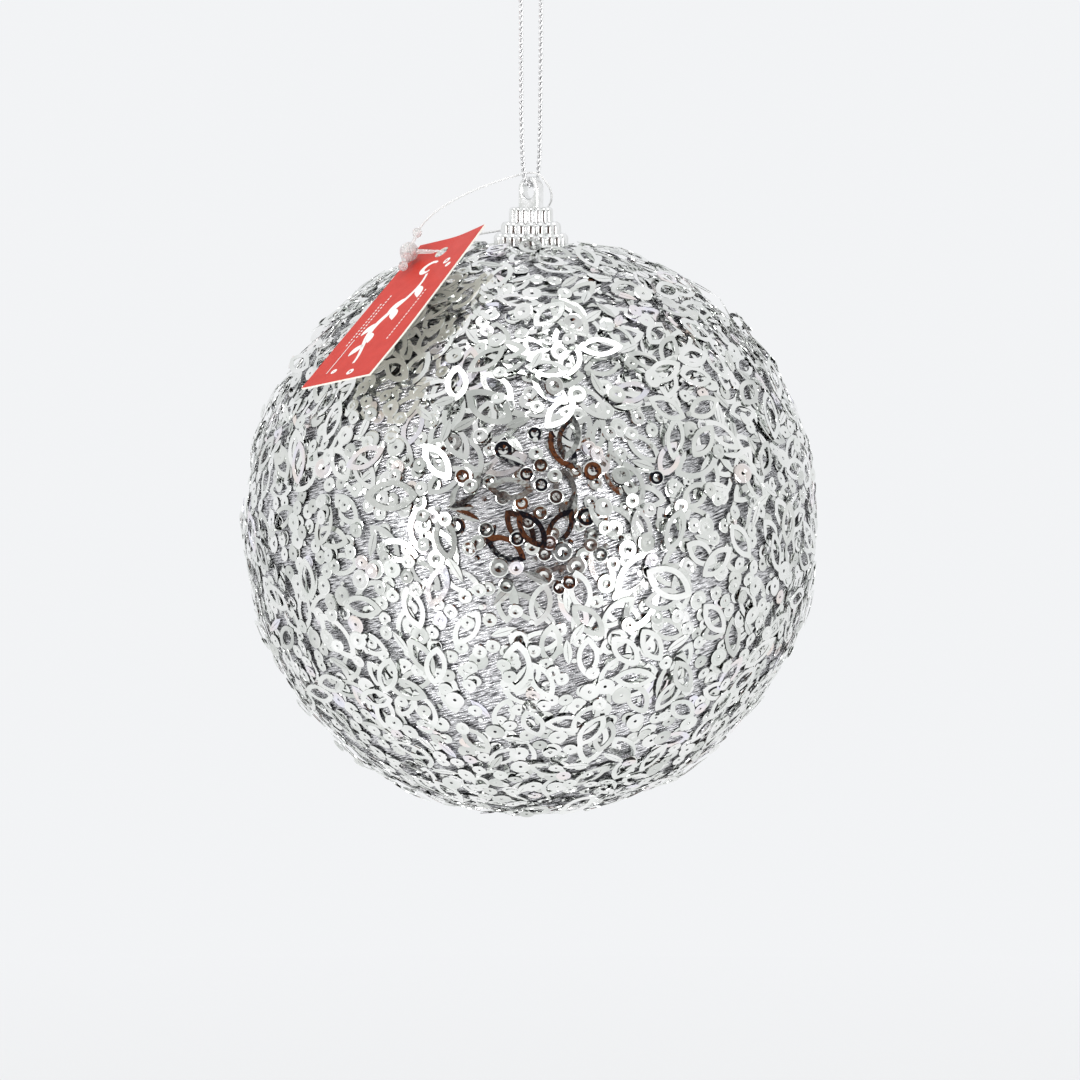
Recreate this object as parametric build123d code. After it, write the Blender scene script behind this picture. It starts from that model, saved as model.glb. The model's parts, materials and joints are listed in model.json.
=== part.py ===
from build123d import *
import math
import os

# A sequined ball ornament that hangs from a doubled cord.
# Millimetres. The row's origin is the point where a hook bears under the top of the cord loop, +Z is up,
# and the ornament hangs straight down from it with its front towards -Y.
# Everything is modelled about the ball's centre and moved down to its place when it is written.

# --- driving dimensions ---
BALL_D = 120.0  # over the sequins
WINDING_T = 0.6  # wound metallic thread
SEQUIN_COAT_T = 1.9  # all the sequin layers together
BED_T = 1.2  # the lower, closed sequin layers
EYE_Z = 69.4  # centre of the cap's eye above the ball's centre
LOOP_DROP = 62.0  # from the hook down to the centre of the eye

CAP_BASE_Z = 58.0
CAP_TIERS = [(7.65, 60.75, 20), (6.2, 63.05, 16), (4.55, 66.0, 16)]  # radius, top height, lobes
TIER_OVERLAP = 0.8  # each tier starts this far below the top of the one under it
TAB_TOP_Z = 72.3
TAB_W, TAB_T = 4.9, 2.3
TAB_YAW = 35.0  # the tab's face is turned this far to the left of the front
EYE_W, EYE_H = 2.7, 3.4
EYE_ROUND = 0.45  # moulded radius on the eye's rim
CAP_CORE_R, CAP_CORE_TOP_Z = 5.4, 59.6
PEG_R, PEG_TIP_Z, BARB_R = 2.2, 40.0, 3.1
BARBS_Z = [43.0, 47.5, 52.0]
BARB_H, TIP_H = 1.6, 2.0
SOCKET_R, SOCKET_FLOOR_Z = 4.0, 38.0

CORD_D = 1.0
KNOT_R, KNOT_H, TAIL_L = 1.9, 3.6, 8.0
KNOT_Z = 1.6  # underside of the knot above the hook's bearing point
FILAMENT_D = 0.45

TAG_L, TAG_W, TAG_T = 47.0, 20.0, 0.4
TAG_HOLE_D, TAG_HOLE_IN = 3.2, 5.0  # hole, and its centre's distance from the top edge
TAG_LIFT = 60.6  # the card's underside from the ball's centre
TAG_SHIFT_DOWN, TAG_SHIFT_SIDE = 6.5, 11.4  # the card's middle from where its plane comes nearest the ball
LOCK_R, BEAD_R = 1.9, 1.0
PLUG_BEAD_UP, LOCK_BEAD_DOWN = 5.2, 4.0  # the two beads from the middle of the lock

SEQUINS = 400
SEQUIN_T = 0.12
SEQUIN_SEAT = 59.5  # the sequins of the top layer lie on this radius
CUP_D, CUP_H, CUP_HOLE_D = 3.0, 0.3, 0.6
RING_L, RING_W, RING_BAND = 9.2, 4.6, 0.9
LEAF_L, LEAF_W = 5.6, 1.8
DOT_D = 1.1

# --- worked out from them ---
BALL_R = BALL_D / 2
WINDING_R = BALL_R - SEQUIN_COAT_T
CORE_R = WINDING_R - WINDING_T
BED_R = WINDING_R + BED_T
HOOK_Z = EYE_Z + LOOP_DROP
CAP_CLEAR_R = CAP_TIERS[0][0] + 0.25

yaw = math.radians(TAB_YAW)
TAB_ALONG = Vector(math.cos(yaw), -math.sin(yaw), 0)  # along the tab's width
TAB_FACE = Vector(-math.sin(yaw), -math.cos(yaw), 0)  # out of the tab's front face

# the tag's own directions: out of its printed face, down its length, and across to its right edge
TAG_OUT = Vector(-0.522, -0.321, 0.790).normalized()
DOWN_GUESS = Vector(-0.492, -0.644, -0.586)  # the tag's length, before it is laid square to its face
TAG_DOWN = (DOWN_GUESS - TAG_OUT * DOWN_GUESS.dot(TAG_OUT)).normalized()
TAG_ACROSS = TAG_OUT.cross(TAG_DOWN)

os.makedirs("parts", exist_ok=True)


def write(name, shape):
    """Moves a finished node from the ball's centre to its hanging place and writes it."""
    placed = Pos(0, 0, -HOOK_Z) * shape
    placed.label = name
    export_step(placed, f"parts/{name}.step")


def shell(outer, inner, hole_r):
    """A spherical layer with a round opening at the top."""
    opening = Cylinder(hole_r, outer, align=(Align.CENTER, Align.CENTER, Align.MIN))
    return Sphere(outer) - Sphere(inner) - opening


def upright(radius, low, high):
    """A vertical cylinder on the ball's axis between two heights."""
    return Pos(0, 0, low) * Cylinder(radius, high - low, align=(Align.CENTER, Align.CENTER, Align.MIN))


# --- core and layers ---
def foam_core():
    return Sphere(CORE_R) - upright(SOCKET_R, SOCKET_FLOOR_Z, CORE_R + 5)


def peg():
    """The cap's barbed peg: a round pin with cone barbs that widen upwards and a pointed tip."""
    body = upright(PEG_R, PEG_TIP_Z + TIP_H, CAP_CORE_TOP_Z)
    body += Pos(0, 0, PEG_TIP_Z) * Cone(0.8, PEG_R, TIP_H, align=(Align.CENTER, Align.CENTER, Align.MIN))
    for z in BARBS_Z:
        body += Pos(0, 0, z) * Cone(PEG_R, BARB_R, BARB_H, align=(Align.CENTER, Align.CENTER, Align.MIN))
    return body


def hot_glue():
    filling = upright(SOCKET_R, SOCKET_FLOOR_Z, CAP_BASE_Z) + upright(CAP_CORE_R, CAP_BASE_Z, CAP_CORE_TOP_Z)
    return filling - peg()


# --- cap ---
def fluted_tier(radius, low, high, lobes):
    """A ring of upright round-topped lobes that run into each other round a plain drum."""
    spread = 1.1 * math.pi / lobes
    lobe_r = radius * spread / (1 + spread)
    outline = make_face(
        Polyline((0, low), (lobe_r, low), (lobe_r, high - lobe_r))
        + RadiusArc((lobe_r, high - lobe_r), (0, high), -lobe_r)
        + Line((0, high), (0, low))
    )
    lobe = revolve(Plane.XZ * outline, Axis.Z)
    pitch_r = radius - lobe_r
    ring = [Rot(0, 0, 360 * k / lobes) * Pos(pitch_r, 0, 0) * lobe for k in range(lobes)]
    return upright(pitch_r, low, high - 0.35 * lobe_r) + ring


def eye_tab():
    """The flat eye on top of the cap, round-topped, with an upright oval hole."""
    foot = CAP_TIERS[-1][1] - 1.0
    arch_z = TAB_TOP_Z - TAB_W / 2
    slab = Pos(0, 0, (foot + arch_z) / 2) * Box(TAB_W, TAB_T, arch_z - foot)
    slab += Pos(0, 0, arch_z) * Rot(90, 0, 0) * Cylinder(TAB_W / 2, TAB_T)
    reach = (EYE_H - EYE_W) / 2
    hole = Pos(0, 0, EYE_Z) * Box(EYE_W, 2 * TAB_T, 2 * reach)
    for z in (EYE_Z - reach, EYE_Z + reach):
        hole += Pos(0, 0, z) * Rot(90, 0, 0) * Cylinder(EYE_W / 2, 2 * TAB_T)
    tab = slab - hole
    rim = [
        e
        for e in tab.edges()
        if abs(abs(e.center().Y) - TAB_T / 2) < 0.01
        and math.hypot(e.center().X, e.center().Z - EYE_Z) < EYE_H / 2 + 0.05
    ]
    tab = fillet(rim, EYE_ROUND)
    outside = [
        e
        for e in tab.edges()
        if abs(abs(e.center().Y) - TAB_T / 2) < 0.01 and e.center().Z > arch_z + 1.5
    ]
    tab = fillet(outside, 0.35)
    return Rot(0, 0, -TAB_YAW) * tab


def cap():
    low, body = CAP_BASE_Z, None
    for radius, high, lobes in CAP_TIERS:
        tier = fluted_tier(radius, low, high, lobes)
        body = tier if body is None else body + tier
        low = high - TIER_OVERLAP
    body -= upright(CAP_CORE_R, CAP_BASE_Z - 1, CAP_CORE_TOP_Z)
    return body + peg() + upright(PEG_R, CAP_CORE_TOP_Z - 0.5, CAP_CORE_TOP_Z + 0.5) + eye_tab()


# --- sequins of the top layer ---
def pointed_oval(length, width):
    """A face between two equal arcs that meet in points on the X axis."""
    half, rise = length / 2, width / 2
    return make_face(
        ThreePointArc((-half, 0), (0, rise), (half, 0)) + ThreePointArc((half, 0), (0, -rise), (-half, 0))
    )


def ring_sequin():
    inner = pointed_oval(RING_L - 3.2 * RING_BAND, RING_W - 2 * RING_BAND)
    return extrude(pointed_oval(RING_L, RING_W) - inner, SEQUIN_T)


def leaf_sequin():
    return extrude(pointed_oval(LEAF_L, LEAF_W), SEQUIN_T)


def dot_sequin():
    return extrude(Circle(DOT_D / 2), SEQUIN_T)


def cup_sequin():
    """A shallow cup: a flat pierced middle and a sloping rim."""
    rim, floor, hole = CUP_D / 2, CUP_D / 4, CUP_HOLE_D / 2
    section = make_face(
        Polyline(
            (hole, 0),
            (floor, 0),
            (rim, CUP_H - SEQUIN_T),
            (rim, CUP_H),
            (floor - 0.05, SEQUIN_T),
            (hole, SEQUIN_T),
            (hole, 0),
        )
    )
    return revolve(Plane.XZ * section, Axis.Z)


def sequin_places():
    """Even places over the ball clear of the cap: (kind, where, outwards, along)."""
    turn = math.pi * (3 - math.sqrt(5))
    kinds = ["cup", "ring", "cup", "leaf", "ring", "cup", "dot", "ring", "cup", "cup"]
    for k in range(SEQUINS):
        z = 1 - (2 * k + 1) / SEQUINS
        flat = math.sqrt(1 - z * z)
        out = Vector(flat * math.cos(turn * k), flat * math.sin(turn * k), z)
        if flat * SEQUIN_SEAT < CAP_CLEAR_R + RING_L / 2 and z > 0:
            continue
        along = out.cross(Vector(0, 0, 1)).normalized().rotate(Axis((0, 0, 0), out), 137.5 * k % 180)
        yield kinds[k % len(kinds)], out * SEQUIN_SEAT, out, along


def top_layer():
    """Compounds of separate sequins, one for each kind."""
    shapes = {"cup": cup_sequin(), "ring": ring_sequin(), "leaf": leaf_sequin(), "dot": dot_sequin()}
    groups = {kind: [] for kind in shapes}
    for kind, where, out, along in sequin_places():
        groups[kind].append(Plane(origin=where, x_dir=along, z_dir=out) * shapes[kind])
    return {kind: Compound(children=solids) for kind, solids in groups.items()}


# --- cords ---
def cord_tube(name, points, diameter):
    """A tube along straight runs joined by arcs, each as large as its two runs allow."""
    runs = [b - a for a, b in zip(points, points[1:])]
    radii = [
        0.45 * min(a.length, b.length) / math.tan(math.radians(a.get_angle(b)) / 2)
        for a, b in zip(runs, runs[1:])
    ]
    path = FilletPolyline(*points, radius=radii)
    tube = sweep(Plane(origin=path @ 0, z_dir=path % 0) * Circle(diameter / 2), path=path)
    expected = math.pi * diameter**2 / 4 * path.length
    print(f"{name}: length {path.length:.1f}, volume {tube.volume:.2f} of {expected:.2f}")
    print(f"{name}: radii", [round(r, 2) for r in radii])
    return tube


STRAND = Vector(-2.05, -1.6, 0).normalized()  # from the loop's middle line towards the front strand


def cord_points():
    """The cord's route: down the front strand, through the eye from its front, and up the rear strand."""
    top = [(0.62, KNOT_Z), (0.7, -0.1), (2.5, -2.9), (2.62, -9.0), (2.6, -21.0), (2.52, -43.0), (2.3, -53.5)]
    front = [STRAND * out + Vector(0, 0, HOOK_Z + z) for out, z in top]
    near_eye = [
        TAB_FACE * 2.25 + TAB_ALONG * -0.35 + Vector(0, 0, EYE_Z + 4.4),
        TAB_FACE * 2.0 + Vector(0, 0, EYE_Z + 0.95),
    ]
    half = front + near_eye
    return half + [Vector(-p.X, -p.Y, p.Z) for p in reversed(half)]


def cord_knot():
    """The knot that closes the loop, with the two cut ends standing out of it."""
    low = HOOK_Z + KNOT_Z
    outline = make_face(
        Polyline((0, low), (KNOT_R - 0.5, low))
        + ThreePointArc((KNOT_R - 0.5, low), (KNOT_R, low + KNOT_H / 2), (KNOT_R - 0.5, low + KNOT_H))
        + Polyline((KNOT_R - 0.5, low + KNOT_H), (0, low + KNOT_H), (0, low))
    )
    knot = revolve(Plane.XZ * outline, Axis.Z)
    for side in (-1, 1):
        lean = Rot(0, 14 * side, 0)
        tail = Cylinder(CORD_D / 2, TAIL_L + 1, align=(Align.CENTER, Align.CENTER, Align.MIN))
        knot += Pos(0.5 * side, 0, low + KNOT_H - 1) * lean * tail
    return knot


# --- tag and its loop pin ---
def on_tag(down, across, height):
    """A point from the middle of the tag's hole, measured on its upper face."""
    hole_down = TAG_SHIFT_DOWN - TAG_L / 2 + TAG_HOLE_IN
    flat = TAG_DOWN * (hole_down + down) + TAG_ACROSS * (TAG_SHIFT_SIDE + across)
    return TAG_OUT * (TAG_LIFT + TAG_T + height) + flat


def tag_card():
    middle = Plane(origin=on_tag(TAG_L / 2 - TAG_HOLE_IN, 0, 0), x_dir=TAG_DOWN, z_dir=TAG_OUT)
    card = middle * Pos(0, 0, -TAG_T / 2) * Box(TAG_L, TAG_W, TAG_T)
    hole = Plane(origin=on_tag(0, 0, 0), z_dir=TAG_OUT) * Cylinder(TAG_HOLE_D / 2, 4 * TAG_T)
    return card - hole


LOCK_MIDDLE = on_tag(0.9, -7.1, 2.35)
LOCK_UP = (TAG_DOWN * -0.93 + TAG_OUT * 0.2 - TAG_ACROSS * 0.1).normalized()
TAIL_END = on_tag(0.4, -1.4, 0.8)
BEAD_MIDDLE = LOCK_MIDDLE + LOCK_UP * PLUG_BEAD_UP


def lock_frame():
    return Plane(origin=LOCK_MIDDLE, x_dir=LOCK_UP.cross(TAG_OUT), z_dir=LOCK_UP)


def lock_chamber():
    """The bore that the plug snaps into: a narrow mouth and a wide chamber."""
    mouth = Pos(0, 0, 1.0) * Cylinder(0.45, 1.6, align=(Align.CENTER, Align.CENTER, Align.MIN))
    return mouth + Pos(0, 0, -1.2) * Cylinder(1.15, 2.2, align=(Align.CENTER, Align.CENTER, Align.MIN))


def tag_lock():
    """The loop pin's socket: a drop-shaped body, a pierced bead at its foot and a flat tapering tail."""
    outline = make_face(
        Polyline((0, 1.85), (0.9, 1.75))
        + ThreePointArc((0.9, 1.75), (LOCK_R, 0.2), (1.3, -1.5))
        + Polyline((1.3, -1.5), (0.75, -2.6), (0.6, -4.2), (0, -4.2), (0, 1.85))
    )
    body = revolve(Plane.XZ * outline, Axis.Z)
    body += Pos(0, 0, -LOCK_BEAD_DOWN) * Sphere(BEAD_R)
    body -= Pos(0, 0, -LOCK_BEAD_DOWN) * Rot(90, 0, 0) * Cylinder(0.35, 4 * BEAD_R)
    body -= lock_chamber()
    body = lock_frame() * body
    root = LOCK_MIDDLE + (TAIL_END - LOCK_MIDDLE).normalized() * (LOCK_R - 0.35)
    ends = []
    for place, width, thick in ((root, 1.1, 0.5), (TAIL_END, 0.6, 0.45)):
        across = TAG_OUT.cross(TAIL_END - root)
        ends.append(Plane(origin=place, x_dir=across, z_dir=TAIL_END - root) * Rectangle(width, thick))
    return body + loft(ends)


def tag_plug():
    """The loop pin's plug: a bead, a neck through the socket's mouth and a barbed head in the chamber."""
    head = Pos(0, 0, -0.9) * Cone(0.25, 0.95, 1.7, align=(Align.CENTER, Align.CENTER, Align.MIN))
    neck = Pos(0, 0, 0.6) * Cylinder(0.33, 4.6, align=(Align.CENTER, Align.CENTER, Align.MIN))
    return lock_frame() * (head + neck + Pos(0, 0, PLUG_BEAD_UP) * Sphere(BEAD_R))


def filament_points():
    """The filament's route: bead, over the cap's eye between the two strands, round behind the cap,
    low over the ball to the underside of the tag, up through its hole and on to the tail."""
    leaving = BEAD_MIDDLE + LOCK_UP * (BEAD_R - 0.03)
    return [
        leaving,
        leaving + LOCK_UP * 2.2 + Vector(0.9, 0, 0.6),
        Vector(-16.6, -5.6, 67.2),
        Vector(-10.9, -2.6, 69.9),
        Vector(-6.3, -0.5, 71.5),
        Vector(-3.5, 0.4, 72.3),
        Vector(-1.2, 0.1, 72.95),
        Vector(0.9, -0.3, 73.1),
        Vector(2.4, -0.7, 72.1),
        Vector(3.9, 0.1, 70.0),
        Vector(4.4, 2.5, 67.9),
        Vector(3.7, 5.6, 65.9),
        Vector(1.6, 8.0, 63.9),
        Vector(-2.6, 10.4, 61.5),
        Vector(-8.0, 9.8, 60.7),
        Vector(-12.6, 5.6, 60.0),
        Vector(-15.6, -0.6, 59.4),
        Vector(-15.8, -8.0, 58.9),
        on_tag(-4.4, -1.3, -2.35),
        on_tag(0, 0, -1.75),
        on_tag(0, 0, 0.8),
        TAIL_END,
    ]


write("foam_core", foam_core())
write("thread_winding", shell(WINDING_R, CORE_R, SOCKET_R))
write("sequin_bed", shell(BED_R, WINDING_R, CAP_CLEAR_R))
for kind, group in top_layer().items():
    write(f"{kind}_sequins", group)
write("cap", cap())
write("hot_glue", hot_glue())
write("hanging_cord", cord_tube("hanging_cord", cord_points(), CORD_D))
write("cord_knot", cord_knot())
write("tag_card", tag_card())
write("tag_filament", cord_tube("tag_filament", filament_points(), FILAMENT_D))
write("tag_lock", tag_lock())
write("tag_plug", tag_plug())
print("ball centre z", -HOOK_Z, "eye z", EYE_Z - HOOK_Z)
print("swing axis z", EYE_Z + 0.95 - HOOK_Z, "face", TAB_FACE)
print("tag hole", on_tag(0, 0, 0) - Vector(0, 0, HOOK_Z), "out", TAG_OUT)
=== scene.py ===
"""A sequined ball ornament on a doubled cord, with a crown cap and a card tag.

Its looks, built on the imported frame.
"""

import json
import math

import bpy
import numpy as np
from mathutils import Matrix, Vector


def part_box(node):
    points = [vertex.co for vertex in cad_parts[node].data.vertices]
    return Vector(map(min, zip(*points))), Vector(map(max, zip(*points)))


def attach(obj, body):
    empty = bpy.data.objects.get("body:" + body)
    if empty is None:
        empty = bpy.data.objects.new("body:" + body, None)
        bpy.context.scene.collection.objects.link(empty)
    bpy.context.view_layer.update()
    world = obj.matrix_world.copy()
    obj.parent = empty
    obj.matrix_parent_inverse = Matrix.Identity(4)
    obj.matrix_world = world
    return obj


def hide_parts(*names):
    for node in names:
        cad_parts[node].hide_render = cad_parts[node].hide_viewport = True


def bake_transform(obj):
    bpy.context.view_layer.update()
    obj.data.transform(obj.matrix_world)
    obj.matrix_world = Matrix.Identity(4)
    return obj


MM = 0.001

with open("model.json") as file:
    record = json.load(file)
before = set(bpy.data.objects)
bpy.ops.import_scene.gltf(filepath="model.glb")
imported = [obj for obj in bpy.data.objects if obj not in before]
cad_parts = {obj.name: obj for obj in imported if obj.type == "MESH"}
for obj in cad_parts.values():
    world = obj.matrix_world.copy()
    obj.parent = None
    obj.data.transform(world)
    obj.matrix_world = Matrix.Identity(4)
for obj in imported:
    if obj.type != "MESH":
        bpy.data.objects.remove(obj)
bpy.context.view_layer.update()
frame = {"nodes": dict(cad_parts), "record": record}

# --- places, all from the frame, in metres ---
joints = {joint["name"]: joint for joint in frame["record"]["behaviour"]["joints"]}
core_low, core_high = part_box("foam_core")
bed_low, bed_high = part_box("sequin_bed")
CORE_R = (core_high[0] - core_low[0]) / 2
BED_R = (bed_high[0] - bed_low[0]) / 2
BALL = Vector((0, 0, bed_low[2] + BED_R))
EYE = Vector(joints["ball_swing"]["pos_m"])
TAB_FACE = Vector(joints["ball_swing"]["axis"])
TAB_ALONG = Vector((-TAB_FACE.y, TAB_FACE.x, 0))
TAG_HOLE = Vector(joints["tag_turn"]["pos_m"])
TAG_OUT = Vector(joints["tag_turn"]["axis"])

rng = np.random.default_rng(20)


# --- small mesh helpers ---
def new_object(name, vertices, faces, smooth=True):
    """A mesh object from arrays of places and faces."""
    mesh = bpy.data.meshes.new(name)
    mesh.from_pydata([tuple(v) for v in vertices], [], [tuple(f) for f in faces])
    mesh.validate()
    if smooth:
        mesh.shade_smooth()
    thing = bpy.data.objects.new(name, mesh)
    bpy.context.scene.collection.objects.link(thing)
    return thing


def quad_object(name, vertices, quads, smooth=True):
    """A mesh object of quads alone, from numpy arrays, for pieces too large to build one face at a time."""
    mesh = bpy.data.meshes.new(name)
    mesh.vertices.add(len(vertices))
    mesh.vertices.foreach_set("co", np.asarray(vertices, np.float32).ravel())
    mesh.loops.add(4 * len(quads))
    mesh.loops.foreach_set("vertex_index", np.asarray(quads, np.int32).ravel())
    mesh.polygons.add(len(quads))
    mesh.polygons.foreach_set("loop_start", np.arange(0, 4 * len(quads), 4, dtype=np.int32))
    mesh.update(calc_edges=True)
    if smooth:
        mesh.shade_smooth()
    else:
        mesh.shade_flat()
    thing = bpy.data.objects.new(name, mesh)
    bpy.context.scene.collection.objects.link(thing)
    return thing


# --- materials ---
WIND_TILT = math.radians(16.5)  # how far the thread's rows climb to the right, seen from the front
STREAKS = (0.60, 0.60, 5.5)  # the thread's painted glints and painted shade are drawn out along its rows
TEXTURE_LOW, TEXTURE_HIGH = 0.3, 0.7  # the part of a texture's 0 to 1 that carries its contrast
FILM_LOOKS = {  # darkest and lightest colour, least and most roughness, and strength of the waves
    "film_bright": ((0.80, 0.82, 0.80, 1), (0.92, 0.92, 0.92, 1), 0.02, 0.06, 0.20),
    "film_satin": ((0.74, 0.76, 0.74, 1), (0.88, 0.89, 0.88, 1), 0.10, 0.20, 0.20),
    "film_grey": ((0.60, 0.62, 0.60, 1), (0.80, 0.81, 0.79, 1), 0.04, 0.12, 0.20),
    "film_pearl": ((0.88, 0.80, 0.76, 1), (0.84, 0.84, 0.94, 1), 0.10, 0.20, 0.16),
}


def srgb(red, green, blue):
    """A colour as seen on a screen, 0 to 255, in the renderer's linear units."""
    shown = [c / 255 for c in (red, green, blue)]
    return tuple(c / 12.92 if c <= 0.04 else ((c + 0.055) / 1.055) ** 2.4 for c in shown) + (1,)


def surface(name, color, metallic=0.0, roughness=0.5, **plain):
    """A material with one Principled shader. Returns the material, its tree and the shader."""
    material = bpy.data.materials.new(name)
    material.use_nodes = True
    tree = material.node_tree
    shader = tree.nodes["Principled BSDF"]
    shader.inputs["Base Color"].default_value = color
    shader.inputs["Metallic"].default_value = metallic
    shader.inputs["Roughness"].default_value = roughness
    for socket, value in plain.items():
        shader.inputs[socket.replace("_", " ")].default_value = value
    return material, tree, shader


def place_texture(tree, kind, scale, **settings):
    """A procedural texture in the object's own millimetres."""
    where = tree.nodes.get("Millimetres")
    if where is None:
        where = tree.nodes.new("ShaderNodeMapping")
        where.name = "Millimetres"
        where.inputs["Scale"].default_value = (1 / MM,) * 3
        source = tree.nodes.new("ShaderNodeTexCoord")
        tree.links.new(source.outputs["Object"], where.inputs["Vector"])
    texture = tree.nodes.new(kind)
    tree.links.new(where.outputs["Vector"], texture.inputs["Vector"])
    texture.inputs["Scale"].default_value = scale
    for socket, value in settings.items():
        texture.inputs[socket.replace("_", " ")].default_value = value
    return texture


def noise(tree, scale, detail):
    """The value of a noise texture in the object's own millimetres."""
    return place_texture(tree, "ShaderNodeTexNoise", scale, Detail=detail).outputs["Fac"]


def spread(tree, factor, socket, low, high, start=TEXTURE_LOW, end=TEXTURE_HIGH):
    """Drives a number of the shader: maps a part of a texture's 0 to 1 onto a range."""
    mapper = tree.nodes.new("ShaderNodeMapRange")
    for name, value in (("From Min", start), ("From Max", end), ("To Min", low), ("To Max", high)):
        mapper.inputs[name].default_value = value
    tree.links.new(factor, mapper.inputs["Value"])
    tree.links.new(mapper.outputs["Result"], socket)


def blend_colors(tree, factor, stops):
    """A blend of colours at given places of a texture's 0 to 1. Returns the colour's socket."""
    ramp = tree.nodes.new("ShaderNodeValToRGB")
    tree.links.new(factor, ramp.inputs["Fac"])
    elements = ramp.color_ramp.elements
    for element, (position, color) in zip(elements, (stops[0], stops[-1])):
        element.position = position
        element.color = color
    for position, color in stops[1:-1]:
        elements.new(position).color = color
    return ramp.outputs["Color"]


def paint(tree, shader, factor, low, high, start=TEXTURE_LOW, end=TEXTURE_HIGH):
    """Drives the base colour from a texture."""
    tree.links.new(blend_colors(tree, factor, [(start, low), (end, high)]), shader.inputs["Base Color"])


def bump(tree, shader, height, strength, distance_mm):
    """Relief from a texture's height."""
    relief = tree.nodes.new("ShaderNodeBump")
    relief.inputs["Strength"].default_value = strength
    relief.inputs["Distance"].default_value = distance_mm * MM
    tree.links.new(height, relief.inputs["Height"])
    tree.links.new(relief.outputs["Normal"], shader.inputs["Normal"])


def film(name, dark, light, least_rough, most_rough, wave):
    """Metallised sequin film: mirror with slight waves, haze and colour that drifts from sequin to sequin."""
    material, tree, shader = surface(name, light, metallic=1.0)
    paint(tree, shader, noise(tree, 0.16, 1.0), dark, light)
    spread(tree, noise(tree, 0.9, 2.0), shader.inputs["Roughness"], least_rough, most_rough)
    bump(tree, shader, noise(tree, 0.7, 1.0), wave, 0.1)
    return material


def thread_material():
    """Metallic thread: bright and near-black streaks along the rows of the winding, painted glints and
    painted shade between the threads.
    """
    material, tree, shader = surface("metallic_thread", (0.55, 0.55, 0.57, 1), metallic=1.0, roughness=0.3)
    glint_and_shade_streak = place_texture(tree, "ShaderNodeTexNoise", 1.0, Detail=3.0, Roughness=0.6)
    turned = tree.nodes.new("ShaderNodeMapping")
    turned.inputs["Rotation"].default_value = (0, WIND_TILT, 0)
    drawn = tree.nodes.new("ShaderNodeMapping")
    drawn.inputs["Scale"].default_value = STREAKS
    tree.links.new(tree.nodes["Millimetres"].outputs["Vector"], turned.inputs["Vector"])
    tree.links.new(turned.outputs["Vector"], drawn.inputs["Vector"])
    tree.links.new(drawn.outputs["Vector"], glint_and_shade_streak.inputs["Vector"])
    value = glint_and_shade_streak.outputs["Fac"]
    # colour from near black to bright: painted shade in the gaps and painted glints on the thread
    paint(tree, shader, value, (0.035, 0.035, 0.04, 1), (0.86, 0.86, 0.89, 1), 0.39, 0.57)
    spread(tree, value, shader.inputs["Roughness"], 0.36, 0.20)
    bump(tree, shader, value, 0.6, 0.25)
    return material


def make_materials():
    """Every material of the object, by name."""
    made = {name: film(name, *look) for name, look in FILM_LOOKS.items()}
    made["thread"] = thread_material()

    made["cap"], tree, shader = surface(
        "silvered_plastic", (0.90, 0.90, 0.90, 1), metallic=1.0, roughness=0.22
    )
    cloud = noise(tree, 0.6, 3.0)
    paint(tree, shader, cloud, (0.74, 0.75, 0.74, 1), (0.90, 0.90, 0.91, 1))
    spread(tree, cloud, shader.inputs["Roughness"], 0.16, 0.28)

    made["cord"], tree, shader = surface("silver_cord", (0.75, 0.75, 0.77, 1), metallic=1.0, roughness=0.3)
    strand = noise(tree, 3.0, 2.0)
    paint(tree, shader, strand, (0.74, 0.74, 0.75, 1), (0.97, 0.97, 0.98, 1))
    spread(tree, strand, shader.inputs["Roughness"], 0.2, 0.45)
    bump(tree, shader, strand, 0.5, 0.08)

    # a near-black core inside the cord: painted shade for the crevices between the plies
    made["cord_crevice_shade"] = surface("cord_crevice_shade", (0.05, 0.05, 0.055, 1), roughness=0.6)[0]

    clear = (0.98, 0.98, 0.98, 1)
    made["filament"] = surface("clear_filament", clear, roughness=0.3, Transmission_Weight=0.35, IOR=1.40)[0]

    milky = (0.97, 0.96, 0.955, 1)
    made["clear"], tree, shader = surface(
        "clear_plastic", milky, roughness=0.3, Transmission_Weight=0.62, IOR=1.42
    )
    flow = noise(tree, 0.8, 2.0)
    spread(tree, flow, shader.inputs["Roughness"], 0.22, 0.42)
    bump(tree, shader, flow, 0.2, 0.1)

    made["card_print"], tree, shader = surface(
        "printed_card", srgb(200, 56, 45), roughness=0.5, Specular_IOR_Level=0.15
    )
    grain = noise(tree, 6.0, 2.0)
    paint(tree, shader, noise(tree, 0.35, 6.0), srgb(195, 52, 41), srgb(205, 61, 50))
    spread(tree, grain, shader.inputs["Roughness"], 0.36, 0.5)
    bump(tree, shader, grain, 0.12, 0.02)

    made["card_stock"], tree, shader = surface("card_stock", srgb(246, 240, 222), roughness=0.7)
    fibre = noise(tree, 3.0, 4.0)
    paint(tree, shader, fibre, srgb(234, 229, 218), srgb(248, 245, 237))
    bump(tree, shader, fibre, 0.3, 0.05)

    made["ink"], tree, shader = surface("white_ink", srgb(246, 244, 240), roughness=0.4)
    paint(tree, shader, noise(tree, 5.0, 3.0), srgb(240, 232, 228), srgb(250, 250, 248))

    made["foam"], tree, shader = surface("bead_foam", srgb(244, 244, 242), roughness=0.75)
    beads = place_texture(tree, "ShaderNodeTexVoronoi", 0.35).outputs["Distance"]
    paint(tree, shader, beads, srgb(250, 250, 249), srgb(224, 224, 222))
    bump(tree, shader, beads, 0.5, 0.3)

    made["glue"], tree, shader = surface(
        "hot_glue", srgb(238, 232, 210), roughness=0.3, Transmission_Weight=0.3
    )
    spread(tree, noise(tree, 0.5, 2.0), shader.inputs["Roughness"], 0.2, 0.4)
    return made


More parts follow.
